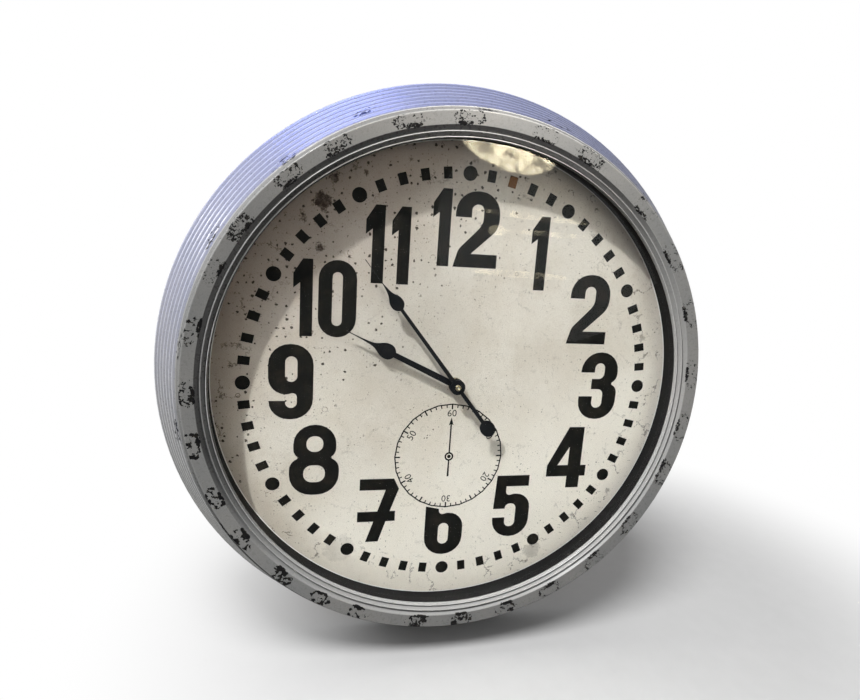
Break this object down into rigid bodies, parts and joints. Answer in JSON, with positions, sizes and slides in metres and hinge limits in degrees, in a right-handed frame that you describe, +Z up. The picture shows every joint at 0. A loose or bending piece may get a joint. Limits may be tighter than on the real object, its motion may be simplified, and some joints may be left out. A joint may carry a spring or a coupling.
{
  "type": "wall clock",
  "caption": "Large round wall clock with a flared fluted case, glazed dial, two spade hands and a battery movement behind the dial.",
  "frame": {"origin": "the wall screw's axis in the plane of the wall: the round upper end of the keyhole slot", "axes": "+Z up; -Y out of the dial towards the viewer, +Y into the wall; +X towards three o'clock"},
  "size_m": [0.64, 0.0672, 0.64],
  "materials": {
    "case_paint": "grey paint over black plastic, chipped to black in patches",
    "window_glass": "clear float glass",
    "gasket_rubber": "matt black",
    "black_plastic": "satin black",
    "dial_card": "off-white printed card with brown specks",
    "hardboard": "brown hardboard",
    "zinc_steel": "zinc-plated sheet",
    "rivet_aluminium": "plain",
    "screw_steel": "zinc-plated",
    "hand_black": "satin black",
    "brass": "turned, bright",
    "movement_plastic": "moulded black",
    "gear_plastic": "natural acetal",
    "knob_plastic": "moulded dark grey",
    "magnet": "sintered ferrite",
    "coil_copper": "enamelled copper winding",
    "circuit_board": "green laminate",
    "battery_jacket": "plain dark jacket",
    "contact_metal": "nickel-plated spring strip"
  },
  "bodies": {
    "case": {"bezel": "case_paint", "case_band": "case_paint", "glass": "window_glass", "glass_gasket": "gasket_rubber", "reveal_ring": "black_plastic", "dial_face": "dial_card", "dial_board": "hardboard", "back_panel": "hardboard", "hanger_plate": "zinc_steel", "hanger_rivets": "rivet_aluminium", "bezel_screws": "screw_steel", "dial_screws": "screw_steel", "panel_screws": "screw_steel", "movement_case": "movement_plastic", "movement_cover": "movement_plastic", "threaded_bushing": "brass", "rubber_washer": "gasket_rubber", "brass_washer": "brass", "fixing_nut": "brass", "train_plate": "gear_plastic", "train_screws": "screw_steel", "stator": "zinc_steel", "drive_coil": "coil_copper", "circuit_board": "circuit_board", "battery_cell": "battery_jacket", "positive_contact": "contact_metal", "negative_contact": "contact_metal"},
    "minute": {"minute_pipe": "brass", "minute_hand": "hand_black", "hand_nut": "brass"},
    "hour": {"hour_wheel": "gear_plastic", "hour_hand": "hand_black"},
    "motion": {"motion_wheel": "gear_plastic"},
    "setting": {"setting_shaft": "gear_plastic", "setting_knob": "knob_plastic"},
    "centre": {"centre_wheel": "gear_plastic"},
    "third": {"third_wheel": "gear_plastic"},
    "seconds": {"seconds_wheel": "gear_plastic"},
    "fifth": {"fifth_wheel": "gear_plastic"},
    "rotor": {"rotor_pinion": "gear_plastic", "rotor_magnet": "magnet"}
  },
  "joints": [
    {"name": "minute_turn", "type": "hinge", "parent": "case", "child": "minute", "pos_m": [0, -0.045, -0.255], "axis": [0, 1, 0], "continuous": true},
    {"name": "hour_turn", "type": "hinge", "parent": "case", "child": "hour", "pos_m": [0, -0.0387, -0.255], "axis": [0, 1, 0], "continuous": true},
    {"name": "motion_turn", "type": "hinge", "parent": "case", "child": "motion", "pos_m": [0.01, -0.0242, -0.255], "axis": [0, 1, 0], "continuous": true},
    {"name": "setting_turn", "type": "hinge", "parent": "case", "child": "setting", "pos_m": [0.01525, -0.0242, -0.24591], "axis": [0, 1, 0], "continuous": true},
    {"name": "seconds_turn", "type": "hinge", "parent": "case", "child": "seconds", "pos_m": [0, -0.019, -0.255], "axis": [0, 1, 0], "continuous": true},
    {"name": "third_turn", "type": "hinge", "parent": "case", "child": "third", "pos_m": [-0.0095, -0.0202, -0.255], "axis": [0, 1, 0], "continuous": true},
    {"name": "centre_turn", "type": "hinge", "parent": "case", "child": "centre", "pos_m": [0, -0.0214, -0.255], "axis": [0, 1, 0], "continuous": true},
    {"name": "fifth_turn", "type": "hinge", "parent": "case", "child": "fifth", "pos_m": [-0.00167, -0.0178, -0.24555], "axis": [0, 1, 0], "continuous": true},
    {"name": "rotor_turn", "type": "hinge", "parent": "case", "child": "rotor", "pos_m": [0.00225, -0.0178, -0.23876], "axis": [0, 1, 0], "continuous": true}
  ],
  "couplings": [
    {"joint": "hour_turn", "follows": "minute_turn", "ratio": 0.083333},
    {"joint": "motion_turn", "follows": "minute_turn", "ratio": -0.33333},
    {"joint": "setting_turn", "follows": "minute_turn", "ratio": 0.83333},
    {"joint": "third_turn", "follows": "seconds_turn", "ratio": -0.13333},
    {"joint": "centre_turn", "follows": "seconds_turn", "ratio": 0.016667},
    {"joint": "fifth_turn", "follows": "seconds_turn", "ratio": -5},
    {"joint": "rotor_turn", "follows": "seconds_turn", "ratio": 30}
  ]
}
